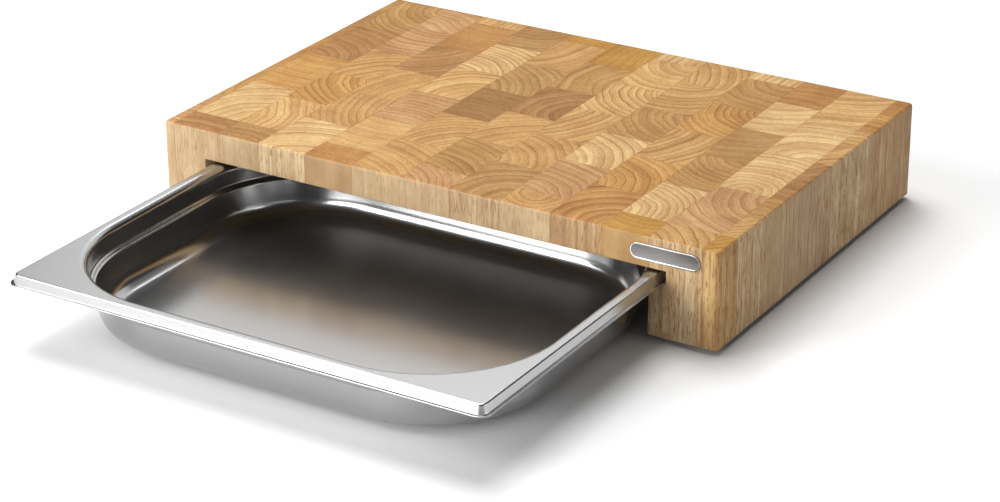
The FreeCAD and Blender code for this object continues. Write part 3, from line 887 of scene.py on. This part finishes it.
CAMERA_PLACE = (0.8453, -1.4291, 0.7246)
CAMERA_TURN = (65.517, 0.267, 31.399)           # degrees about X, Y and Z
SENSOR_WIDTH = 36                               # millimetres
BOARD_MIDDLE = Vector((0, 0, 0.03))

# The softboxes, all turned to the board: name, place, width and height in metres, power in watts.
SOFTBOXES = (
    ("overhead", (-0.3, 0.1, 2.2), (1.1, 1.5), 35),
    ("back_left", (-0.8, 0.8, 1.9), (1.2, 1.2), 20),
    ("back_wall", (-0.65, 2.0, 1.3), (2.8, 1.4), 14),
    ("front_left", (-1.3, -1.3, 1.2), (1.4, 1.0), 30),
    ("front_low", (-0.5, -2.1, 0.5), (1.8, 0.9), 46),
    ("right_low", (2.0, 0.3, 0.25), (1.8, 0.4), 11),
)


def add_softbox(name, place, size, power):
    """A rectangular area light that faces the board."""
    deselect_all()
    bpy.ops.object.light_add(type="AREA", location=place)
    lamp = bpy.context.object
    lamp.name = "softbox_" + name
    lamp.data.shape = "RECTANGLE"
    lamp.data.size, lamp.data.size_y = size
    lamp.data.energy = power
    lamp.rotation_euler = (BOARD_MIDDLE - Vector(place)).to_track_quat("-Z", "Y").to_euler()


def make_studio(settings):
    deselect_all()
    bpy.ops.mesh.primitive_plane_add(size=12, location=(0, 0, 0))
    floor = bpy.context.object
    floor.name = "studio_floor"
    paint = Paint("studio_floor")
    floor.data.materials.append(paint.finish(base_color=settings.floor, roughness=0.9,
                                             specular_ior_level=0.0))

    world = bpy.context.scene.world or bpy.data.worlds.new("studio")
    bpy.context.scene.world = world
    world.use_nodes = True
    back = world.node_tree.nodes["Background"]
    back.inputs["Color"].default_value = tuple(settings.sky) + (1.0,)
    back.inputs["Strength"].default_value = settings.sky_strength

    for name, place, size, power in SOFTBOXES:
        add_softbox(name, place, size, power * settings.brightness)

    deselect_all()
    bpy.ops.object.camera_add(location=CAMERA_PLACE)
    camera = bpy.context.object
    camera.data.lens = settings.lens
    camera.data.sensor_width = SENSOR_WIDTH
    camera.data.clip_start, camera.data.clip_end = 0.05, 50
    camera.rotation_euler = [math.radians(angle) for angle in CAMERA_TURN]
    bpy.context.scene.camera = camera
    bpy.context.scene.view_settings.view_transform = "Standard"


# ---------------------------------------------------------------- operators and panel

def settings_of(group):
    return getattr(bpy.context.scene, group)


class CHOPPING_OT_board(bpy.types.Operator):
    """Build the wooden strips, each a row of end-grain blocks"""
    bl_idname = "chopping.board"
    bl_label = "Wooden board"

    def execute(self, context):
        make_board(settings_of("chopping_board"))
        return {"FINISHED"}


class CHOPPING_OT_tray(bpy.types.Operator):
    """Build the pressed steel tray"""
    bl_idname = "chopping.tray"
    bl_label = "Steel tray"

    def execute(self, context):
        make_tray(settings_of("chopping_tray"))
        return {"FINISHED"}


class CHOPPING_OT_plate(bpy.types.Operator):
    """Build the blank metal plate on the front"""
    bl_idname = "chopping.plate"
    bl_label = "Blank plate"

    def execute(self, context):
        make_plate(settings_of("chopping_plate"))
        return {"FINISHED"}


class CHOPPING_OT_feet(bpy.types.Operator):
    """Give the feet and their screws their materials"""
    bl_idname = "chopping.feet"
    bl_label = "Feet and screws"

    def execute(self, context):
        make_feet(settings_of("chopping_plate"))
        return {"FINISHED"}


class CHOPPING_OT_studio(bpy.types.Operator):
    """Build the floor, the lights and the camera"""
    bl_idname = "chopping.studio"
    bl_label = "Studio"

    def execute(self, context):
        make_studio(settings_of("chopping_studio"))
        return {"FINISHED"}


OPERATORS = (CHOPPING_OT_board, CHOPPING_OT_tray, CHOPPING_OT_plate, CHOPPING_OT_feet,
             CHOPPING_OT_studio)


class CHOPPING_PT_panel(bpy.types.Panel):
    """Lists the board's settings and builders"""
    bl_label = "Chopping board"
    bl_idname = "CHOPPING_PT_panel"
    bl_space_type = "VIEW_3D"
    bl_region_type = "UI"
    bl_category = "Chopping board"

    def draw(self, context):
        for group in GROUPS:
            box = self.layout.box()
            for key in GROUPS[group].__annotations__:
                box.prop(getattr(context.scene, group), key)
        for operator in OPERATORS:
            self.layout.operator(operator.bl_idname)


def register():
    for name, group in GROUPS.items():
        bpy.utils.register_class(group)
        setattr(bpy.types.Scene, name, bpy.props.PointerProperty(type=group))
    for operator in OPERATORS:
        bpy.utils.register_class(operator)
    bpy.utils.register_class(CHOPPING_PT_panel)


def unregister():
    bpy.utils.unregister_class(CHOPPING_PT_panel)
    for operator in reversed(OPERATORS):
        bpy.utils.unregister_class(operator)
    for name, group in GROUPS.items():
        delattr(bpy.types.Scene, name)
        bpy.utils.unregister_class(group)


def main():
    register()
    bpy.ops.chopping.board()
    bpy.ops.chopping.tray()
    bpy.ops.chopping.plate()
    bpy.ops.chopping.feet()
    bpy.ops.chopping.studio()


if __name__ == "__main__":
    main()
